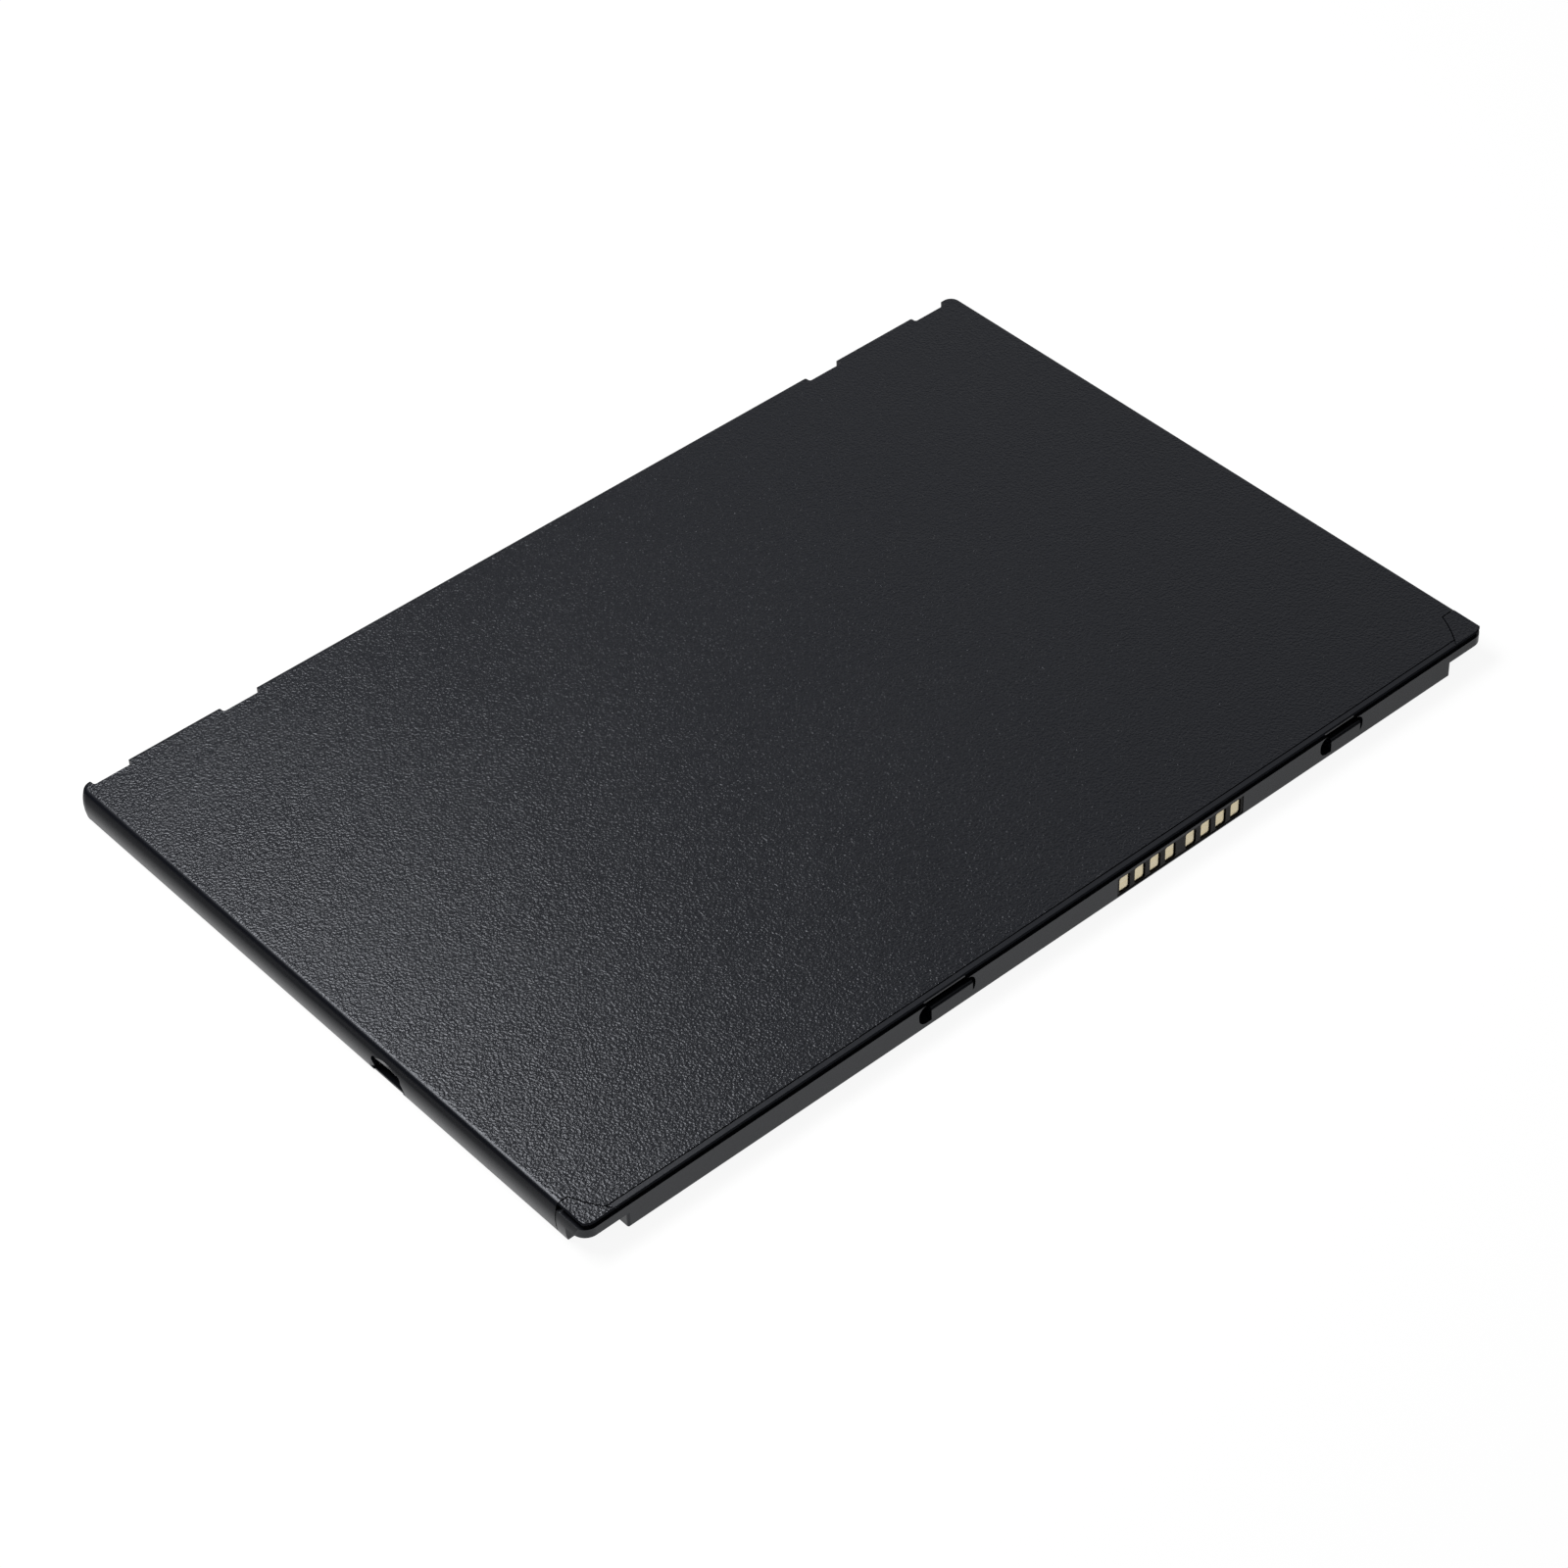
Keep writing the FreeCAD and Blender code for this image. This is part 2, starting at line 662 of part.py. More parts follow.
# The row of parts left of the middle, and the insets of those near the board's right end
capacitor_count = 6
capacitor_pitch = 3.2
capacitor_size = (1.6, 0.8, 0.8)
sense_place = -24.0
sense_length = 6.4
thermistor_length = 2.0
thermistor_gap = 1.8        # from the last capacitor to the thermistor
charge_fet_inset = 48.2
discharge_fet_inset = 40.2
fuse_inset = 30.2
first_capacitor = sense_place - sense_length / 2 - capacitor_pitch
last_capacitor = first_capacitor - capacitor_pitch * (capacitor_count - 1)
thermistor_place = last_capacitor - capacitor_size[0] / 2 - thermistor_gap - thermistor_length / 2

# Parts on the board: place along X, then size along X, Y and Z
board_parts = {
    "gauge_chip": (-6.0, 7.8, 4.4, 1.0),
    "charge_fet": (board_half - charge_fet_inset, 5.0, 6.0, 0.9),
    "discharge_fet": (board_half - discharge_fet_inset, 5.0, 6.0, 0.9),
    "cutoff_fuse": (board_half - fuse_inset, 4.0, 3.0, 1.1),
    "sense_resistor": (sense_place, sense_length, 3.2, 0.7),
    "thermistor": (thermistor_place, thermistor_length, 1.25, 0.6),
}


def board_capacitors():
    """A short row of ceramic capacitors beside the gauge chip."""
    row = [board_part(first_capacitor - capacitor_pitch * n, *capacitor_size) for n in range(capacitor_count)]
    return Part.makeCompound(row)


def rating_label():
    """Bare sheet in its recess on the underside."""
    return label_plan(0, label_thickness, label_recess - label_thickness)


def all_nodes():
    """Every piece by its name."""
    nodes = {
        "top_cover": top_cover(),
        "base_tray": base_tray(),
        "contact_housing": contact_housing(),
        "protection_board": protection_board(),
        "board_capacitors": board_capacitors(),
        "rating_label": rating_label(),
    }
    for name, (x, size_x, size_y, size_z) in board_parts.items():
        nodes[name] = board_part(x, size_x, size_y, size_z)
    for n, x in enumerate(contact_places(), 1):
        nodes[f"contact_blade_{n}"] = blade(x)
    for n, link in enumerate(nickel_links(), 1):
        nodes[f"nickel_link_{n}"] = link
    for n, x in enumerate(cell_places(), 1):
        nodes[f"pouch_cell_{n}"] = pouch_cell(x)
        nodes[f"cell_tabs_{n}"] = cell_tabs(x)
        nodes[f"tab_insulator_{n}"] = tab_insulator(x)
        nodes[f"cell_tape_{n}"] = cell_tape(x)
        nodes[f"foam_pad_{n}"] = foam_pad(x)
    return nodes


os.makedirs("parts", exist_ok=True)
for name, shape in all_nodes().items():
    box = shape.BoundBox
    print(name, len(shape.Solids), "solids, valid", shape.isValid(), "volume", round(shape.Volume, 1),
          "x", round(box.XMin, 2), round(box.XMax, 2), "y", round(box.YMin, 2), round(box.YMax, 2),
          "z", round(box.ZMin, 2), round(box.ZMax, 2))
    shape.exportStep(f"parts/{name}.step")
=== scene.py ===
# %% [markdown]
# # A tablet battery
# This lesson dresses a flat battery pack that clips on as the back of a tablet computer. Its solids come ready made from
# a CAD model, so the shapes are already right. What is left to do here is what the eye sees: the camera, the light, the
# floor, and a finish for every piece, down to the cells and the board inside.

# %% Load the solids
import json
import math

import bmesh
import bpy
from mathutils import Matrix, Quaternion, Vector


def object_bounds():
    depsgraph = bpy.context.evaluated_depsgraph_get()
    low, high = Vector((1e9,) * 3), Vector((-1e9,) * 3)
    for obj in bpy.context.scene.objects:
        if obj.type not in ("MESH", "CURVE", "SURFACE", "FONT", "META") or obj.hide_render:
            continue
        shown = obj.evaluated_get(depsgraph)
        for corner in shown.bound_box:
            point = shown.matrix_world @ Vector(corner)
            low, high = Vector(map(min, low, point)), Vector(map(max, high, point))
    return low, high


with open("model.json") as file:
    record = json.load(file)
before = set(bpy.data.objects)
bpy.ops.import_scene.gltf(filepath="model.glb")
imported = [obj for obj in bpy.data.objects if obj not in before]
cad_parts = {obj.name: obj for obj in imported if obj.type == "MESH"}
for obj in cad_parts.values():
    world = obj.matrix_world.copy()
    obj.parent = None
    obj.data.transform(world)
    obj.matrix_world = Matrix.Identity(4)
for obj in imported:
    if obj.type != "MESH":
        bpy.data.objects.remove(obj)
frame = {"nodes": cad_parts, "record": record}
cad_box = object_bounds()

pieces = frame["nodes"]
slot_of = {row["node"]: row["material_slot"] for row in frame["record"]["subparts"]}
print("solids:", len(pieces), "finishes:", len(set(slot_of.values())))
print("box in mm:", [[round(1000 * v, 2) for v in corner] for corner in cad_box])

# %% [markdown]
# ## The camera
# A photograph can be matched by eye, by dragging the camera until the edges agree, or worked out from the perspective
# of known edges. The second way was used here. The long edges and the short edges of the slab meet in two vanishing
# points, and those give the direction, the tilt and the lens. A long lens from close by keeps the slab's edges nearly
# parallel.

# %% Set the camera
MM = 0.001
view_yaw = math.radians(39.54)        # turned from the +Y axis towards +X
view_pitch = math.radians(42.70)      # looking down
view_roll = math.radians(-2.645)
view_distance = 763.55 * MM
view_lens = 95.86
top_height = cad_box[1][2]
looked_at = Vector((-0.2 * MM, 1.15 * MM, top_height))
lowered = 14.97 * MM                  # the middle of the picture lies this far below that point

forward = Vector((math.sin(view_yaw) * math.cos(view_pitch), math.cos(view_yaw) * math.cos(view_pitch),
                  -math.sin(view_pitch)))
level = Vector((math.cos(view_yaw), -math.sin(view_yaw), 0))
picture_up = math.cos(view_roll) * level.cross(forward) - math.sin(view_roll) * level
camera = bpy.data.objects.new("camera", bpy.data.cameras.new("camera"))
bpy.context.scene.collection.objects.link(camera)
camera.data.lens = view_lens
camera.data.sensor_width = 36
camera.data.clip_start = 0.01
camera.location = looked_at - lowered * picture_up - view_distance * forward
camera.rotation_mode = "QUATERNION"
camera.rotation_quaternion = (-forward).to_track_quat("Z", "Y") @ Quaternion((0, 0, 1), view_roll)
bpy.context.scene.camera = camera
bpy.context.scene.view_settings.view_transform = "Standard"
print("camera at mm:", [round(v / MM, 1) for v in camera.location])

# %% [markdown]
# ## Shader building blocks
# A finish is a small network of nodes. Writing each link out by hand hides what the finish is, so two short helpers
# come first. One adds a node and sets its sockets, and one makes a node group, which is a network with named inputs and
# outputs that many finishes share.

# %% Helpers for nodes and groups


def add(tree, kind, settings=None, **inputs):
    """Adds a node, sets its options, and feeds its inputs with numbers, colours or other nodes' outputs."""
    node = tree.nodes.new(kind)
    for key, value in (settings or {}).items():
        setattr(node, key, value)
    for key, value in inputs.items():
        numbered = key[0] == "i" and key[1:].isdigit()
        socket = node.inputs[int(key[1:]) if numbered else key.replace("_", " ")]
        if isinstance(value, bpy.types.NodeSocket):
            tree.links.new(value, socket)
        else:
            socket.default_value = value
    return node


def maths(tree, operation, first, second=0.0, third=0.0):
    """One Math node's output."""
    return add(tree, "ShaderNodeMath", {"operation": operation}, i0=first, i1=second, i2=third).outputs[0]


def spread(tree, value, low, high, to_low=0.0, to_high=1.0):
    """A value moved from one range to another, held within its ends."""
    return add(tree, "ShaderNodeMapRange", None, Value=value, From_Min=low, From_Max=high, To_Min=to_low,
               To_Max=to_high).outputs[0]


def start_group(name, inputs, outputs):
    """A new shader node group with named float inputs, and its outputs by name."""
    tree = bpy.data.node_groups.new(name, "ShaderNodeTree")
    for label, value in inputs.items():
        tree.interface.new_socket(label, in_out="INPUT", socket_type="NodeSocketFloat").default_value = value
    for label, kind in outputs.items():
        tree.interface.new_socket(label, in_out="OUTPUT", socket_type=kind)
    return tree, tree.nodes.new("NodeGroupInput").outputs, tree.nodes.new("NodeGroupOutput").inputs


def noise_at(tree, place, cycles, detail=2.0, roughness=0.5):
    """Noise with this many cycles to the metre at a place, from 0 to 1."""
    return add(tree, "ShaderNodeTexNoise", None, Vector=place, Scale=cycles, Detail=detail,
               Roughness=roughness).outputs[0]


FLOAT = "NodeSocketFloat"
print("helpers ready")

# %% [markdown]
# ## Spark-eroded grain
# The cover's mould was etched by sparks, which leave a fine even grain that scatters the light. A picture of grain
# could be laid over the plastic, but it would need unwrapping and would blur up close. Noise in three dimensions needs
# neither: fine noise makes the grain's height, a second one says where it glints, and a coarser one makes a few
# flecks. The size comes in as an input, in millimetres, because the real grain is about half a millimetre across.

# %% Group: spark grain
grain, ask, give = start_group("spark grain", {"Grain mm": 0.45, "Fleck mm": 0.75},
                               {"Height": FLOAT, "Glint": FLOAT, "Fleck": FLOAT, "Mottle": FLOAT})
place = grain.nodes.new("ShaderNodeTexCoord").outputs["Object"]
fine_cycles = maths(grain, "DIVIDE", 1000.0, ask["Grain mm"])
fleck_cycles = maths(grain, "DIVIDE", 1000.0, ask["Fleck mm"])
fine = noise_at(grain, place, fine_cycles, 1.0, 0.5)
shifted = add(grain, "ShaderNodeVectorMath", {"operation": "ADD"}, i0=place, i1=(0.31, 0.17, 0.53)).outputs[0]
fleck_noise = noise_at(grain, place, fleck_cycles, 1.0)
grain.links.new(spread(grain, fine, 0.25, 0.75), give["Height"])
grain.links.new(noise_at(grain, shifted, fine_cycles, 1.0), give["Glint"])
grain.links.new(spread(grain, fleck_noise, 0.66, 0.76), give["Fleck"])
grain.links.new(noise_at(grain, place, 28.0, 3.0), give["Mottle"])
print("group:", grain.name)

# %% [markdown]
# ## Rubbed edges
# Handling polishes the edges of black plastic first. Rounded edges can be found by how far the surface turns within a
# short distance: the Bevel node gives a normal that is smoothed over that distance, and where it leans away from the
# true normal there is an edge. A little noise breaks the line up, so it doesn't look drawn.

# %% Group: edge rub
rub, ask, give = start_group("edge rub", {"Reach mm": 0.35, "Break mm": 3.0}, {"Mask": FLOAT})
place = rub.nodes.new("ShaderNodeTexCoord").outputs["Object"]
true_normal = rub.nodes.new("ShaderNodeNewGeometry").outputs["True Normal"]
softened = add(rub, "ShaderNodeBevel", {"samples": 6}, Radius=maths(rub, "MULTIPLY", ask["Reach mm"], MM))
facing = add(rub, "ShaderNodeVectorMath", {"operation": "DOT_PRODUCT"}, i0=softened.outputs[0], i1=true_normal)
turned = spread(rub, facing.outputs["Value"], 0.985, 0.86)
patches = noise_at(rub, place, maths(rub, "DIVIDE", 1000.0, ask["Break mm"]), 3.0, 0.65)
rub.links.new(maths(rub, "MULTIPLY", turned, spread(rub, patches, 0.35, 0.65)), give["Mask"])
print("group:", rub.name)

# %% [markdown]
# ## Dust
# Even a clean pack has a few motes on the faces that look up. The surface normal's height says which faces those are,
# and a sharp threshold on fine noise leaves separate specks rather than a haze.

# %% Group: dust
dust, ask, give = start_group("dust", {"Mote mm": 0.35, "Share": 0.06}, {"Mask": FLOAT})
place = dust.nodes.new("ShaderNodeTexCoord").outputs["Object"]
normal = dust.nodes.new("ShaderNodeNewGeometry").outputs["Normal"]
up = add(dust, "ShaderNodeSeparateXYZ", None, Vector=normal).outputs["Z"]
motes = noise_at(dust, place, maths(dust, "DIVIDE", 1000.0, ask["Mote mm"]), 0.0)
edge = maths(dust, "SUBTRACT", 0.86, ask["Share"])
specks = spread(dust, motes, edge, maths(dust, "ADD", edge, 0.05))
dust.links.new(maths(dust, "MULTIPLY", specks, spread(dust, up, 0.3, 0.9)), give["Mask"])
print("group:", dust.name)

# %% [markdown]
# ## Moulded skin
# Smooth moulded plastic is never quite even: it shrinks as it cools and takes on the mould's polishing marks. Slow
# noise gives the waves, and finer noise gives a bloom that only the shine shows.

# %% Group: moulded skin
skin, ask, give = start_group("moulded skin", {"Wave mm": 14.0, "Bloom mm": 0.8}, {"Height": FLOAT, "Bloom": FLOAT})
place = skin.nodes.new("ShaderNodeTexCoord").outputs["Object"]
waves = noise_at(skin, place, maths(skin, "DIVIDE", 1000.0, ask["Wave mm"]), 1.0)
bloom = noise_at(skin, place, maths(skin, "DIVIDE", 1000.0, ask["Bloom mm"]), 4.0, 0.6)
skin.links.new(waves, give["Height"])
skin.links.new(bloom, give["Bloom"])
print("group:", skin.name)

# %% [markdown]
# ## Drawn lines
# Rolled strip, foil and film all carry fine lines along the way they ran through the rollers. Stretching noise far more
# along one axis than across it gives such lines. The group takes how wide a line is and how many times longer.

# %% Group: drawn lines
lines, ask, give = start_group("drawn lines", {"Width mm": 0.05, "Stretch": 60.0}, {"Height": FLOAT, "Shade": FLOAT})
place = lines.nodes.new("ShaderNodeTexCoord").outputs["Object"]
axes = add(lines, "ShaderNodeSeparateXYZ", None, Vector=place).outputs
along = maths(lines, "DIVIDE", axes["X"], ask["Stretch"])
squeezed = add(lines, "ShaderNodeCombineXYZ", None, X=along, Y=axes["Y"], Z=axes["Z"]).outputs[0]
line_cycles = maths(lines, "DIVIDE", 1000.0, ask["Width mm"])
lines.links.new(noise_at(lines, squeezed, line_cycles, 2.0), give["Height"])
lines.links.new(noise_at(lines, squeezed, maths(lines, "MULTIPLY", line_cycles, 0.2), 2.0), give["Shade"])
print("group:", lines.name)

# %% [markdown]
# ## How a finish is put together
# Each finish is one Principled shader. What is the same all over is set on its sockets. What changes over the surface,
# such as a mask or a height, comes from the groups. This cell makes the empty material, places a group in it, mixes
# colours by a mask, and turns a height into a bump of so many micrometres.

# %% Helpers for finishes
finishes = {}


def start_finish(slot, roughness, metallic=0.0, **constants):
    """An empty material for one slot, with the numbers that are the same all over."""
    material = bpy.data.materials.new(slot)
    material.use_nodes = True
    tree = material.node_tree
    shader = tree.nodes["Principled BSDF"]
    shader.inputs["Roughness"].default_value = roughness
    shader.inputs["Metallic"].default_value = metallic
    for label, value in constants.items():
        shader.inputs[label.replace("_", " ")].default_value = value
    finishes[slot] = material
    return tree, shader.inputs


def use(tree, group, **inputs):
    """Places a shared group in a material and returns its outputs."""
    node = tree.nodes.new("ShaderNodeGroup")
    node.node_tree = group
    for label, value in inputs.items():
        node.inputs[label.replace("_", " ")].default_value = value
    return node.outputs


def tint(tree, mask, below, above):
    """A colour that goes from one to the other as the mask rises."""
    mix = tree.nodes.new("ShaderNodeMix")
    mix.data_type = "RGBA"
    wanted = {"Factor_Float": mask, "A_Color": below, "B_Color": above}
    for socket in mix.inputs:
        if socket.identifier in wanted:
            value = wanted[socket.identifier]
            if isinstance(value, bpy.types.NodeSocket):
                tree.links.new(value, socket)
            else:
                socket.default_value = value if isinstance(value, float) else (*value, 1.0)
    return next(socket for socket in mix.outputs if socket.identifier == "Result_Color")


def dent(tree, height, micrometres, below=None):
    """A bump from a height between 0 and 1, on top of another bump where one is given."""
    bump = add(tree, "ShaderNodeBump", None, Strength=1.0, Distance=micrometres * 1e-6, Height=height)
    if below is not None:
        tree.links.new(below, bump.inputs["Normal"])
    return bump.outputs[0]


print("finish helpers ready")

# %% [markdown]
# ## The two mouldings
# Both halves of the case are the same black plastic, polished on the walls and the rail and spark-eroded on top. So one
# function makes both finishes, and a mask says where the grain goes. Under the grain the shine is broader and uneven,
# which breaks the lamp's sheen into glints. The plastic is a cool black: it throws back hardly any light of its own,
# and what it does is a little blue.

# %% Helper: black plastic with grain under a mask
cool_black = (0.0070, 0.0080, 0.0118)
worn_black = (0.024, 0.026, 0.031)
speck_grey = (0.013, 0.014, 0.019)
dust_grey = (0.13, 0.13, 0.13)
cool_shine = (0.90, 0.93, 1.0, 1.0)
grain_size = 0.45                     # millimetres
fleck_size = 0.75
grain_depth = 68.0                    # micrometres
grain_ends = (0.93, 0.995)            # how far up a face looks where the grain stops, and where it is full


def facing_up(tree):
    """How far the surface faces up, from -1 to 1."""
    normal = tree.nodes.new("ShaderNodeNewGeometry").outputs["True Normal"]
    return add(tree, "ShaderNodeSeparateXYZ", None, Vector=normal).outputs["Z"]


def black_plastic(slot, grain_mask_of, rub_mm):
    """A finish for one moulding, with the grain where the mask is 1."""
    tree, shader = start_finish(slot, 0.3, Specular_Tint=cool_shine)
    grain_mask = grain_mask_of(tree)
    eroded = use(tree, grain, Grain_mm=grain_size, Fleck_mm=fleck_size)
    smooth = use(tree, skin)
    rubbed = use(tree, rub, Reach_mm=rub_mm)
    motes = use(tree, dust, Share=0.05)
    specks = maths(tree, "MULTIPLY", eroded["Fleck"], grain_mask)
    shade = tint(tree, specks, cool_black, speck_grey)
    shade = tint(tree, maths(tree, "MULTIPLY", rubbed["Mask"], 0.3), shade, worn_black)
    shade = tint(tree, maths(tree, "MULTIPLY", motes["Mask"], 0.5), shade, dust_grey)
    tree.links.new(shade, shader["Base Color"])
    polished = maths(tree, "MULTIPLY_ADD", spread(tree, facing_up(tree), 0.8, 0.95), 0.10,
                     spread(tree, smooth["Bloom"], 0.3, 0.7, 0.20, 0.26))
    satin = maths(tree, "MULTIPLY_ADD", spread(tree, eroded["Glint"], 0.3, 0.7), 0.12,
                  spread(tree, eroded["Mottle"], 0.3, 0.7, 0.16, 0.21))
    blend = add(tree, "ShaderNodeMix", {"data_type": "FLOAT"}, i0=grain_mask, A=polished, B=satin)
    tree.links.new(blend.outputs["Result"], shader["Roughness"])
    waved = dent(tree, smooth["Height"], 5.0)
    tree.links.new(dent(tree, maths(tree, "MULTIPLY", eroded["Height"], grain_mask), grain_depth, waved),
                   shader["Normal"])
    print("finish:", slot)


# %% [markdown]
# ## Where the grain goes
# On the cover the grain fills the top face and stops where the edge starts to turn down. On the lower moulding only the
# tops of the two corner caps have it, and the strip along the front is smooth. Both masks come from where the surface
# lies and which way it faces, so no painting is needed.

# %% Finishes: textured cover and smooth case
left_cap_end = -101.3 * MM            # where the caps end, along X
right_cap_start = 100.1 * MM
below_top = 0.5 * MM


def cover_grain_mask(tree):
    """1 on the cover's top face, 0 on its walls."""
    return spread(tree, facing_up(tree), *grain_ends)


def cap_grain_mask(tree):
    """1 on the tops of the two corner caps."""
    place = tree.nodes.new("ShaderNodeTexCoord").outputs["Object"]
    axes = add(tree, "ShaderNodeSeparateXYZ", None, Vector=place).outputs
    on_left_cap = maths(tree, "LESS_THAN", axes["X"], left_cap_end)
    on_right_cap = maths(tree, "GREATER_THAN", axes["X"], right_cap_start)
    near_end = maths(tree, "ADD", on_left_cap, on_right_cap)
    at_top = maths(tree, "GREATER_THAN", axes["Z"], top_height - below_top)
    on_cap = maths(tree, "MULTIPLY", near_end, at_top)
    return maths(tree, "MULTIPLY", on_cap, spread(tree, facing_up(tree), *grain_ends))


black_plastic("textured_cover", cover_grain_mask, 0.5)
black_plastic("smooth_case", cap_grain_mask, 0.3)

# %% [markdown]
# ## The contact row
# The block behind the window is a harder, duller plastic, and its eight blades are pale gold over copper. Gold has no
# colour of its own in the dark: it shows what is in front of it, here the white table. So the blades need a metal
# shader, a low roughness and the light lines of the plating.

# %% Finish: contact block and blades
block_tree, block = start_finish("contact_block", 0.5, Specular_IOR_Level=0.35)
block_skin = use(block_tree, skin, Wave_mm=5.0, Bloom_mm=0.3)
block_edge = use(block_tree, rub, Reach_mm=0.12)
block_brown = (0.0135, 0.0100, 0.0086)
block_rubbed = (0.028, 0.023, 0.020)
shade = tint(block_tree, maths(block_tree, "MULTIPLY", block_edge["Mask"], 0.25), block_brown, block_rubbed)
block_tree.links.new(shade, block["Base Color"])
block_tree.links.new(spread(block_tree, block_skin["Bloom"], 0.3, 0.7, 0.44, 0.58), block["Roughness"])
block_tree.links.new(dent(block_tree, block_skin["Bloom"], 1.5), block["Normal"])

gold = (0.98, 0.83, 0.52)
pale_gold = (1.0, 0.90, 0.68)
blade_tree, blade = start_finish("plated_contact", 0.24, 1.0)
blade_lines = use(blade_tree, lines, Width_mm=0.04, Stretch=30.0)
blade_skin = use(blade_tree, skin, Wave_mm=1.2, Bloom_mm=0.25)
shade = tint(blade_tree, spread(blade_tree, blade_lines["Shade"], 0.3, 0.7), gold, pale_gold)
blade_tree.links.new(shade, blade["Base Color"])
blade_tree.links.new(spread(blade_tree, blade_skin["Bloom"], 0.35, 0.7, 0.18, 0.34), blade["Roughness"])
blade_tree.links.new(dent(blade_tree, blade_lines["Height"], 0.6), blade["Normal"])
print("finishes: contact_block, plated_contact")

# %% [markdown]
# ## The board and the parts on it
# Nobody sees the inside of a sealed pack until it is opened, but a model that comes apart should hold up there too. The
# board's green is solder mask over copper: a second noise, cut hard into bands, lets the tracks show as a slightly
# lighter green. The parts on it are moulded black, tan ceramic and white ceramic.

# %% Finish: circuit board
board_tree, board = start_finish("circuit_board", 0.28, Coat_Roughness=0.12)
place = board_tree.nodes.new("ShaderNodeTexCoord").outputs["Object"]
pours = add(board_tree, "ShaderNodeTexVoronoi", {"feature": "DISTANCE_TO_EDGE", "distance": "EUCLIDEAN"}, Vector=place,
            Scale=230.0).outputs["Distance"]
copper_under = spread(board_tree, pours, 0.05, 0.09)
board_skin = use(board_tree, skin, Wave_mm=2.0, Bloom_mm=0.2)
shade = tint(board_tree, copper_under, (0.012, 0.060, 0.030), (0.025, 0.125, 0.060))
board_tree.links.new(shade, board["Base Color"])
board_tree.links.new(spread(board_tree, board_skin["Bloom"], 0.3, 0.7, 0.22, 0.36), board["Roughness"])
board_tree.links.new(dent(board_tree, copper_under, 25.0), board["Normal"])
board_tree.links.new(spread(board_tree, board_skin["Height"], 0.2, 0.8, 0.4, 0.8), board["Coat Weight"])
print("finish: circuit_board")

# %% Finishes: small moulded and ceramic parts
small_parts = {
    "ceramic": ((0.34, 0.25, 0.16), (0.46, 0.36, 0.25), 0.45, 0.3),
    "chip_body": ((0.014, 0.014, 0.015), (0.028, 0.028, 0.030), 0.55, 0.12),
    "fuse_body": ((0.62, 0.62, 0.59), (0.78, 0.78, 0.75), 0.38, 0.2),
}
for slot, (deep, light, roughness, bloom_mm) in small_parts.items():
    tree, shader = start_finish(slot, roughness)
    part_skin = use(tree, skin, Wave_mm=1.0, Bloom_mm=bloom_mm)
    tree.links.new(tint(tree, spread(tree, part_skin["Bloom"], 0.3, 0.7), deep, light), shader["Base Color"])
    dulled = spread(tree, part_skin["Height"], 0.3, 0.7, roughness - 0.06, roughness + 0.08)
    tree.links.new(dulled, shader["Roughness"])
    tree.links.new(dent(tree, part_skin["Bloom"], 4.0), shader["Normal"])
print("finishes:", ", ".join(small_parts))

# %% [markdown]
# ## Metal strip, tabs and foil
# Links, tabs and the cells' pouches are all rolled metal, so one loop makes them from a table: colour, roughness, how
# wide the rolling lines are and how deep. The pouch is foil under a thin nylon skin, so it is duller, and slow waves
# show how the soft cell fills it.

# %% Finishes: rolled metals
rolled = {
    "nickel_strip": ((0.56, 0.53, 0.48), (0.72, 0.69, 0.64), 0.26, 0.06, 1.2, 0.0),
    "cell_tab": ((0.66, 0.66, 0.67), (0.80, 0.80, 0.81), 0.30, 0.05, 1.0, 0.0),
    "cell_pouch": ((0.50, 0.51, 0.53), (0.66, 0.67, 0.69), 0.42, 0.12, 2.0, 60.0),
}
for slot, (deep, light, roughness, width_mm, line_depth, wave_depth) in rolled.items():
    tree, shader = start_finish(slot, roughness, 1.0)
    drawn = use(tree, lines, Width_mm=width_mm, Stretch=45.0)
    soft = use(tree, skin, Wave_mm=16.0, Bloom_mm=0.6)
    tree.links.new(tint(tree, spread(tree, drawn["Shade"], 0.3, 0.7), deep, light), shader["Base Color"])
    tree.links.new(spread(tree, soft["Bloom"], 0.3, 0.7, roughness - 0.05, roughness + 0.08), shader["Roughness"])
    waved = dent(tree, soft["Height"], wave_depth)
    tree.links.new(dent(tree, drawn["Height"], line_depth, waved), shader["Normal"])
print("finishes:", ", ".join(rolled))

# %% [markdown]
# ## Film, tape, foam and label
# The last sheets are plastic film over the tabs, white tape under the cells, soft grey foam over them, and the bare
# label on the underside. Foam is the one that needs a different height: Voronoi cells, which look like its pores.

# %% Finishes: films and tapes
sheets = {
    "amber_film": ((0.42, 0.19, 0.035), (0.62, 0.32, 0.07), 0.22, 0.08, 1.0),
    "adhesive_sheet": ((0.66, 0.66, 0.63), (0.78, 0.78, 0.76), 0.50, 0.15, 3.0),
    "label_film": ((0.64, 0.64, 0.63), (0.71, 0.71, 0.70), 0.40, 0.10, 1.5),
}
for slot, (deep, light, roughness, width_mm, line_depth) in sheets.items():
    tree, shader = start_finish(slot, roughness)
    drawn = use(tree, lines, Width_mm=width_mm, Stretch=12.0)
    soft = use(tree, skin, Wave_mm=20.0, Bloom_mm=0.5)
    tree.links.new(tint(tree, spread(tree, soft["Bloom"], 0.3, 0.7), deep, light), shader["Base Color"])
    tree.links.new(spread(tree, drawn["Shade"], 0.3, 0.7, roughness - 0.05, roughness + 0.07), shader["Roughness"])
    waved = dent(tree, soft["Height"], 20.0)
    tree.links.new(dent(tree, drawn["Height"], line_depth, waved), shader["Normal"])
print("finishes:", ", ".join(sheets))

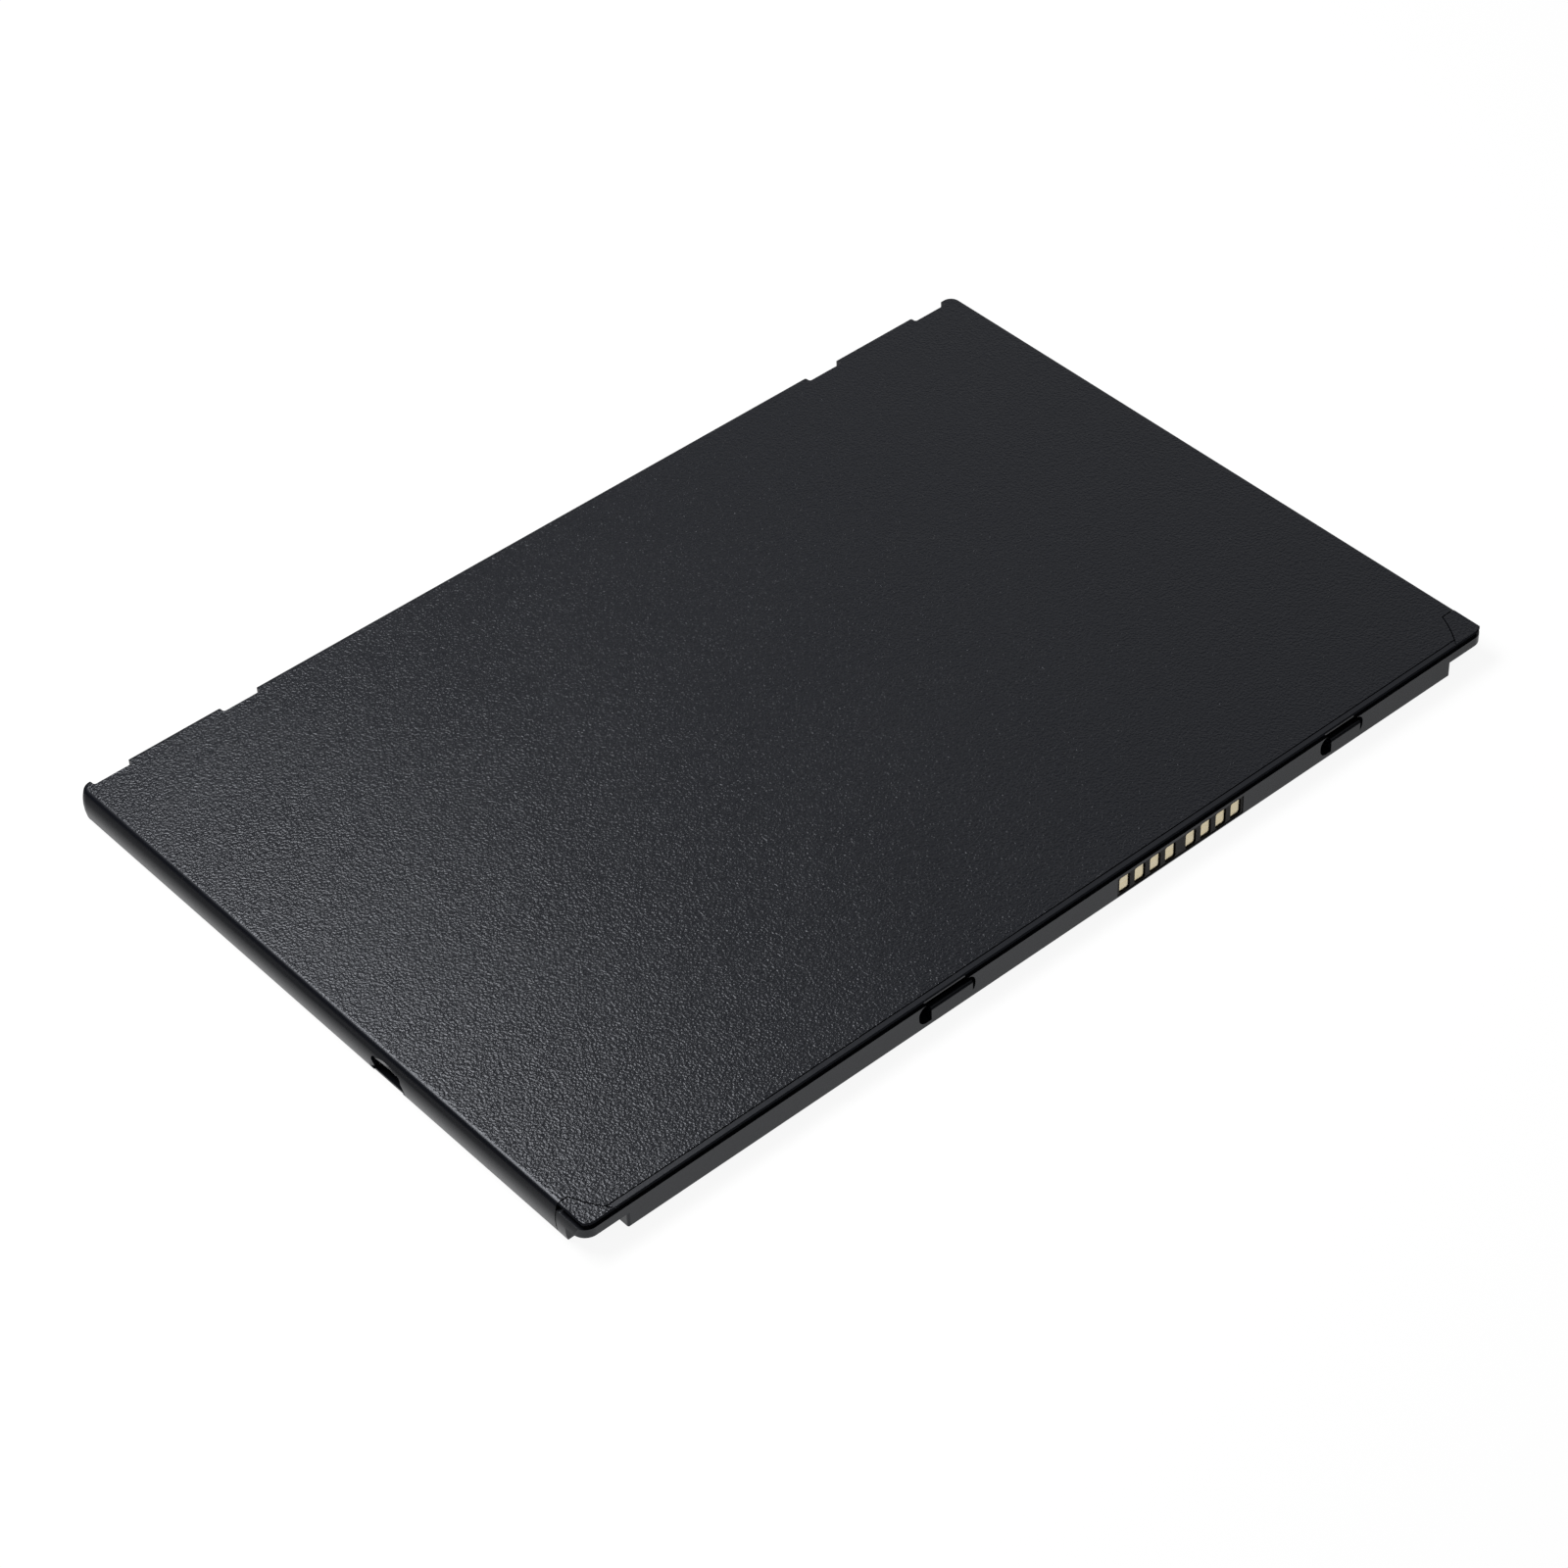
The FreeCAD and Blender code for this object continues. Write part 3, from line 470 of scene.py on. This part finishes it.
# %% Finish: foam
foam_tree, foam = start_finish("foam", 0.85)
place = foam_tree.nodes.new("ShaderNodeTexCoord").outputs["Object"]
pores_and_pore_shade = add(foam_tree, "ShaderNodeTexVoronoi", None, Vector=place, Scale=2200.0).outputs["Distance"]
# The colour is darker at the bottom of each pore, where the bump dents it: painted shade in the hollows.
foam_tree.links.new(tint(foam_tree, spread(foam_tree, pores_and_pore_shade, 0.1, 0.7), (0.030, 0.030, 0.031), (0.085, 0.085, 0.087)),
                    foam["Base Color"])
foam_tree.links.new(spread(foam_tree, pores_and_pore_shade, 0.1, 0.7, 0.92, 0.74), foam["Roughness"])
foam_tree.links.new(dent(foam_tree, pores_and_pore_shade, 90.0), foam["Normal"])
print("finish: foam")

# %% [markdown]
# ## Giving each solid its finish
# The record names a slot for every solid, so the finishes are handed out by that name. The solids themselves stay
# where they are and keep their meshes. Each gets the new material in its existing slot.

# %% Hand out the finishes
for name, piece in pieces.items():
    material = finishes[slot_of[name]]
    for slot in piece.material_slots:
        slot.material = material
    if not piece.material_slots:
        piece.data.materials.append(material)
print("dressed:", len(pieces))

# %% [markdown]
# ## The floor
# The photograph was taken on white that has no edge and burns out. Lighting a floor until it burns out would also
# flood the black plastic, so the floor is given some light of its own that only the camera and reflections see. What
# the lamp adds on top still falls short where the pack shades it, so a faint shadow stays. A real white sheet ends
# somewhere, and the walls of the pack show it: they are pale where they mirror the sheet close by, and dark where they
# mirror what lies beyond. So in reflections this floor grows darker towards the horizon.

# %% Make the floor
floor_half = 12.0
floor_drop = 0.05 * MM
share_for_camera = 0.80               # how much of what the camera sees is the floor's own light
share_for_shine = 0.90                # and of what reflections see
camera_glow = 1.14
near_shine = (0.24, 0.90)             # where it starts to darken in reflections, and how bright it is before that
far_shine = (0.52, 0.035)             # and the same for where it ends

plane = bmesh.new()
bmesh.ops.create_grid(plane, x_segments=1, y_segments=1, size=floor_half)
floor_mesh = bpy.data.meshes.new("floor")
plane.to_mesh(floor_mesh)
plane.free()
floor = bpy.data.objects.new("floor", floor_mesh)
floor.location.z = -floor_drop
bpy.context.scene.collection.objects.link(floor)

floor_material = bpy.data.materials.new("white_table")
floor_material.use_nodes = True
tree = floor_material.node_tree
tree.nodes.clear()
ray = tree.nodes.new("ShaderNodeLightPath").outputs
mirrored_ray = maths(tree, "MAXIMUM", ray["Is Glossy Ray"], ray["Is Transmission Ray"])
for_shine = maths(tree, "MULTIPLY", mirrored_ray, share_for_shine)
share = maths(tree, "MULTIPLY_ADD", ray["Is Camera Ray"], share_for_camera, for_shine)
level_view = tree.nodes.new("ShaderNodeLayerWeight").outputs["Facing"]
seen_in_shine = spread(tree, level_view, near_shine[0], far_shine[0], near_shine[1], far_shine[1])
strength = maths(tree, "MAXIMUM", maths(tree, "MULTIPLY", ray["Is Camera Ray"], camera_glow), seen_in_shine)
glow = add(tree, "ShaderNodeEmission", None, Strength=strength).outputs[0]
paper = add(tree, "ShaderNodeBsdfDiffuse", None, Color=(0.8, 0.8, 0.8, 1.0)).outputs[0]
both = add(tree, "ShaderNodeMixShader", None, i0=share, i1=paper, i2=glow).outputs[0]
tree.links.new(both, tree.nodes.new("ShaderNodeOutputMaterial").inputs["Surface"])
floor_mesh.materials.append(floor_material)
print("floor side in m:", 2 * floor_half)

# %% [markdown]
# ## The light
# One soft lamp hangs close behind the pack, a little to the left. Its place and size come from the sheen in the
# photograph: a near lamp makes a sheen that fades quickly across the cover, a far one makes it even. The world fills
# in the rest from above and is dark low down, which gives the walls their dark line between the sheen and the table.
# A pale wall far behind on the right keeps the back of the cover from going black.

# %% Hang the lamp and set the world
lamp_azimuth = math.radians(-27)      # from the +Y axis towards +X
lamp_height = math.radians(61)
lamp_distance = 0.52
lamp_size = (0.40, 0.20)
lamp_radiance = 8.6
overhead = 0.20
low_down = 0.03
back_wall = 0.40                      # a pale wall far behind on the right
back_wall_azimuth = math.radians(48)
back_wall_height = math.radians(24)
back_wall_fade = (0.86, 0.99)         # how near its middle a direction lies where it begins, and where it is full
overhead_fade = (0.40, 0.60)          # how high a direction rises where the light from above begins, and is full

lamp_direction = Vector((math.sin(lamp_azimuth) * math.cos(lamp_height),
                         math.cos(lamp_azimuth) * math.cos(lamp_height), math.sin(lamp_height)))
lamp_data = bpy.data.lights.new("soft lamp", "AREA")
lamp_data.shape = "RECTANGLE"
lamp_data.size, lamp_data.size_y = lamp_size
lamp_data.energy = lamp_radiance * math.pi * lamp_size[0] * lamp_size[1]
lamp = bpy.data.objects.new("soft lamp", lamp_data)
lamp.location = lamp_distance * lamp_direction
lamp.rotation_mode = "QUATERNION"
lamp.rotation_quaternion = lamp_direction.to_track_quat("Z", "Y")
bpy.context.scene.collection.objects.link(lamp)

world = bpy.data.worlds.new("room")
world.use_nodes = True
bpy.context.scene.world = world
tree = world.node_tree
tree.nodes.clear()
direction = tree.nodes.new("ShaderNodeTexCoord").outputs["Generated"]
rise = add(tree, "ShaderNodeSeparateXYZ", None, Vector=direction).outputs["Z"]
room_light = spread(tree, rise, *overhead_fade, low_down, overhead)
wall_direction = (math.sin(back_wall_azimuth) * math.cos(back_wall_height),
                  math.cos(back_wall_azimuth) * math.cos(back_wall_height), math.sin(back_wall_height))
to_wall = add(tree, "ShaderNodeVectorMath", {"operation": "DOT_PRODUCT"}, i0=direction, i1=wall_direction)
wall_light = spread(tree, to_wall.outputs["Value"], *back_wall_fade, 0.0, back_wall)
room_light = maths(tree, "ADD", room_light, wall_light)
seen = tree.nodes.new("ShaderNodeLightPath").outputs["Is Camera Ray"]
strength = maths(tree, "MAXIMUM", room_light, seen)
room = add(tree, "ShaderNodeBackground", None, Strength=strength).outputs[0]
tree.links.new(room, tree.nodes.new("ShaderNodeOutputWorld").inputs["Surface"])
print("lamp power in W:", round(lamp_data.energy, 2))
